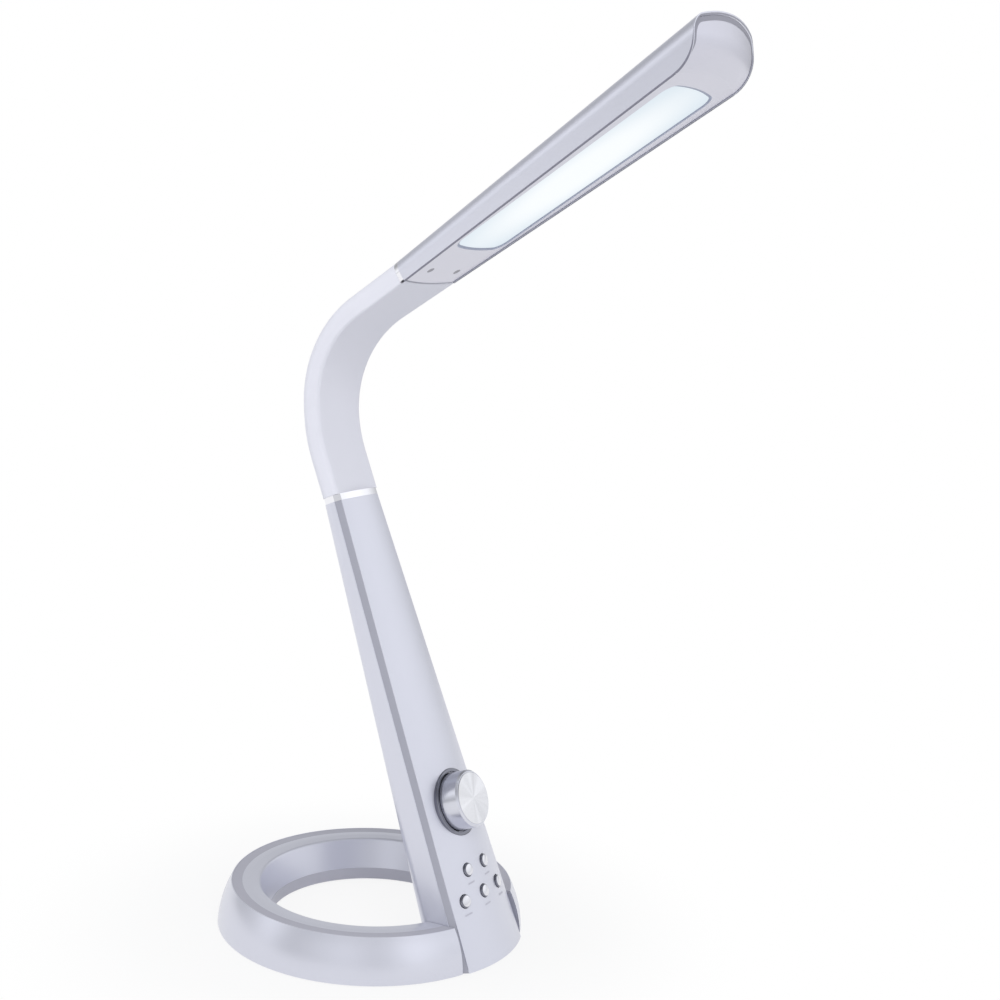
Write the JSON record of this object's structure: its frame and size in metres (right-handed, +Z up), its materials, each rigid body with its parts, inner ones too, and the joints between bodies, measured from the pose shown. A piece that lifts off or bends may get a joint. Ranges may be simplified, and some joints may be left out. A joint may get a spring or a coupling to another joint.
{
  "type": "led table lamp",
  "caption": "LED table lamp with a ring foot, a leaning tapered column with a knob and buttons, a flexible neck and a flat paddle-shaped light head.",
  "frame": {"origin": "centre of the ring foot, on the table", "axes": "+Z up, +X forwards, the way the head points, +Y to the lamp's left"},
  "size_m": [0.2936, 0.19, 0.5468],
  "materials": {
    "silver_shell": "pearl silver paint, satin",
    "grey_trim": "satin grey",
    "grey_plastic": "satin grey",
    "foot_rubber": "matte",
    "ballast_steel": "plain",
    "screw_steel": "zinc plated",
    "black_plastic": "matte",
    "contact_brass": "plain",
    "bright_chrome": "polished",
    "board_resin": "semi gloss",
    "board_white": "white coated",
    "encoder_metal": "plain",
    "knob_satin": "satin anodised",
    "spun_aluminium": "radially spun",
    "button_satin": "satin",
    "link_steel": "plain",
    "neck_silicone": "matte white",
    "lead_sheath": "matte",
    "lit_diffuser": "opal, lit",
    "spreader_aluminium": "plain",
    "led_resin": "phosphor"
  },
  "bodies": {
    "stand": {"base_outer_shell": "silver_shell", "base_reveal_ring": "grey_trim", "base_inner_ring": "silver_shell", "base_pan": "grey_plastic", "base_foot_ring": "foot_rubber", "base_ballast": "ballast_steel", "base_screws": "screw_steel", "inlet_jack": "black_plastic", "inlet_pin": "contact_brass", "column_front_shell": "silver_shell", "column_rear_shell": "silver_shell", "side_trim_right": "grey_trim", "side_trim_left": "grey_trim", "column_screws": "screw_steel", "lower_collar": "bright_chrome", "control_board": "board_resin", "board_screws": "screw_steel", "board_components": "black_plastic", "tact_switches": "black_plastic", "encoder_body": "encoder_metal", "encoder_nut": "screw_steel", "knob_bezel": "bright_chrome", "lower_ferrule": "link_steel", "neck_sleeve": "neck_silicone", "supply_lead": "lead_sheath"},
    "knob": {"encoder_shaft": "encoder_metal", "knob_body": "knob_satin", "knob_cap": "spun_aluminium"},
    "button_1": {"button_1": "button_satin"},
    "button_2": {"button_2": "button_satin"},
    "button_3": {"button_3": "button_satin"},
    "button_4": {"button_4": "button_satin"},
    "button_5": {"button_5": "button_satin"},
    "link_1": {"neck_link_1": "link_steel"},
    "link_2": {"neck_link_2": "link_steel"},
    "link_3": {"neck_link_3": "link_steel"},
    "link_4": {"neck_link_4": "link_steel"},
    "link_5": {"neck_link_5": "link_steel"},
    "link_6": {"neck_link_6": "link_steel"},
    "head": {"upper_ferrule": "link_steel", "upper_collar": "bright_chrome", "head_top_shell": "silver_shell", "head_bottom_cover": "silver_shell", "led_diffuser": "lit_diffuser", "light_board": "board_white", "heat_spreader": "spreader_aluminium", "led_chips": "led_resin", "head_screws": "screw_steel"}
  },
  "joints": [
    {"name": "knob_turn", "type": "hinge", "parent": "stand", "child": "knob", "pos_m": [0.05825, 0, 0.08993], "axis": [0.921, 0, 0.3896], "continuous": true},
    {"name": "button_1_press", "type": "slide", "parent": "stand", "child": "button_1", "axis": [-0.921, 0, -0.3896], "range_m": [0, 0.0005], "stiffness_N_per_m": 400},
    {"name": "button_2_press", "type": "slide", "parent": "stand", "child": "button_2", "axis": [-0.921, 0, -0.3896], "range_m": [0, 0.0005], "stiffness_N_per_m": 400},
    {"name": "button_3_press", "type": "slide", "parent": "stand", "child": "button_3", "axis": [-0.921, 0, -0.3896], "range_m": [0, 0.0005], "stiffness_N_per_m": 400},
    {"name": "button_4_press", "type": "slide", "parent": "stand", "child": "button_4", "axis": [-0.921, 0, -0.3896], "range_m": [0, 0.0005], "stiffness_N_per_m": 400},
    {"name": "button_5_press", "type": "slide", "parent": "stand", "child": "button_5", "axis": [-0.921, 0, -0.3896], "range_m": [0, 0.0005], "stiffness_N_per_m": 400},
    {"name": "neck_bend_1", "type": "hinge", "parent": "stand", "child": "link_1", "pos_m": [-0.03826, 0, 0.2883], "axis": [0, 1, 0], "range_deg": [-11, 14], "deforming": ["neck_sleeve", "supply_lead"]},
    {"name": "neck_bend_2", "type": "hinge", "parent": "link_1", "child": "link_2", "pos_m": [-0.04465, 0, 0.30826], "axis": [0, 1, 0], "range_deg": [-11, 14]},
    {"name": "neck_sway_1", "type": "hinge", "parent": "link_2", "child": "link_3", "pos_m": [-0.04631, 0, 0.32915], "axis": [0.9989, 0, -0.0465], "range_deg": [-12, 12], "deforming": ["neck_sleeve", "supply_lead"]},
    {"name": "neck_bend_3", "type": "hinge", "parent": "link_3", "child": "link_4", "pos_m": [-0.04216, 0, 0.34965], "axis": [0, 1, 0], "range_deg": [-11, 14]},
    {"name": "neck_sway_2", "type": "hinge", "parent": "link_4", "child": "link_5", "pos_m": [-0.032, 0, 0.36793], "axis": [0.7897, 0, -0.6135], "range_deg": [-12, 12]},
    {"name": "neck_bend_4", "type": "hinge", "parent": "link_5", "child": "link_6", "pos_m": [-0.01679, 0, 0.3823], "axis": [0, 1, 0], "range_deg": [-11, 14]},
    {"name": "neck_bend_5", "type": "hinge", "parent": "link_6", "child": "head", "pos_m": [0.00058, 0, 0.39409], "axis": [0, 1, 0], "range_deg": [-11, 14]}
  ],
  "couplings": [
    {"joint": "neck_bend_2", "follows": "neck_bend_1", "ratio": 1},
    {"joint": "neck_bend_3", "follows": "neck_bend_1", "ratio": 1},
    {"joint": "neck_sway_2", "follows": "neck_sway_1", "ratio": 1},
    {"joint": "neck_bend_4", "follows": "neck_bend_1", "ratio": 1},
    {"joint": "neck_bend_5", "follows": "neck_bend_1", "ratio": 1}
  ]
}
